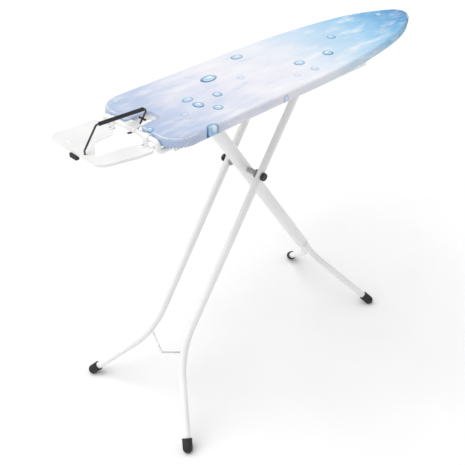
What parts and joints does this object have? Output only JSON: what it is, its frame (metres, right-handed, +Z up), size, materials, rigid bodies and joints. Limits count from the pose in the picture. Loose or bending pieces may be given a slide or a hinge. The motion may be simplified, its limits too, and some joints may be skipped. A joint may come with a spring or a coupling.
{
  "type": "ironing board",
  "caption": "Folding ironing board with a scissor stand, padded printed cover, hinged iron tray with a wire rest bar, and a brake lever that locks the height.",
  "frame": {"origin": "on the floor, under the middle of the object's length and width", "axes": "+X from the wide end to the nose, +Y across the board, +Z up"},
  "size_m": [1.26, 0.475, 0.9805],
  "materials": {
    "cover_cloth": "printed cotton cover, pale blue",
    "felt": "needled felt pad",
    "white_paint": "white powder coat",
    "zinc_steel": "zinc-plated steel",
    "dark_wire": "dark drawn wire",
    "black_rubber": "matt black rubber",
    "black_plastic": "black moulded plastic",
    "grey_plastic": "grey moulded nylon"
  },
  "bodies": {
    "board": {"cover": "cover_cloth", "foam_pad": "felt", "top_sheet": "white_paint", "sheet_rim": "white_paint", "hinge_bracket": "white_paint", "hinge_pin": "zinc_steel", "slide_rail_left": "white_paint", "slide_rail_right": "white_paint", "underside_rivets": "zinc_steel", "brake_strip": "white_paint", "rear_channel": "white_paint", "front_channel": "white_paint", "cross_tube": "white_paint", "tube_saddles": "white_paint", "saddle_screws": "zinc_steel", "bar_guide": "white_paint"},
    "wide_leg": {"wide_leg": "white_paint", "fork_collar": "white_paint", "fork_arm_left": "white_paint", "fork_arm_right": "white_paint", "front_foot_left": "black_rubber", "front_foot_right": "black_rubber", "scissor_axle": "zinc_steel", "pivot_spacer_left": "grey_plastic", "pivot_spacer_right": "grey_plastic", "axle_cap_left": "black_plastic", "axle_cap_right": "black_plastic"},
    "slim_legs": {"slim_leg_left": "white_paint", "slim_leg_right": "white_paint", "rear_foot_left": "black_rubber", "rear_foot_right": "black_rubber", "tie_wire": "zinc_steel"},
    "slide": {"slide_rod": "zinc_steel", "slide_bush_left": "grey_plastic", "slide_bush_right": "grey_plastic", "rod_clip_left": "zinc_steel", "rod_clip_right": "zinc_steel", "brake_bracket": "zinc_steel", "brake_pin": "zinc_steel", "brake_spring": "zinc_steel"},
    "brake_lever": {"brake_lever": "zinc_steel", "brake_grip": "black_plastic"},
    "iron_tray": {"tray_panel": "white_paint", "tray_lugs": "white_paint", "lug_rivets": "zinc_steel", "rest_wire": "dark_wire", "rest_sleeve": "black_plastic", "rest_collar": "dark_wire", "buffer_bracket": "zinc_steel", "tray_buffer": "black_rubber"}
  },
  "joints": [
    {"name": "fold", "type": "hinge", "parent": "board", "child": "wide_leg", "pos_m": [-0.245, 0, 0.888], "axis": [0, -1, 0], "range_deg": [0, 52.4]},
    {"name": "scissor", "type": "hinge", "parent": "wide_leg", "child": "slim_legs", "pos_m": [-0.08975, 0, 0.66295], "axis": [0, -1, 0], "range_deg": [-104.8, 0]},
    {"name": "slide_turn", "type": "hinge", "parent": "slim_legs", "child": "slide", "pos_m": [0.0655, 0, 0.888], "axis": [0, -1, 0], "range_deg": [0, 52.4]},
    {"name": "brake", "type": "hinge", "parent": "slide", "child": "brake_lever", "pos_m": [0.0355, 0, 0.9103], "axis": [0, 1, 0], "range_deg": [0, 7], "stiffness_Nm_per_rad": 1, "springref_deg": -8.59},
    {"name": "tray_fold", "type": "hinge", "parent": "board", "child": "iron_tray", "pos_m": [-0.4795, 0, 0.9315], "axis": [0, 1, 0], "range_deg": [0, 90]}
  ],
  "couplings": [
    {"joint": "scissor", "follows": "fold", "ratio": -2},
    {"joint": "slide_turn", "follows": "fold", "ratio": 1}
  ]
}
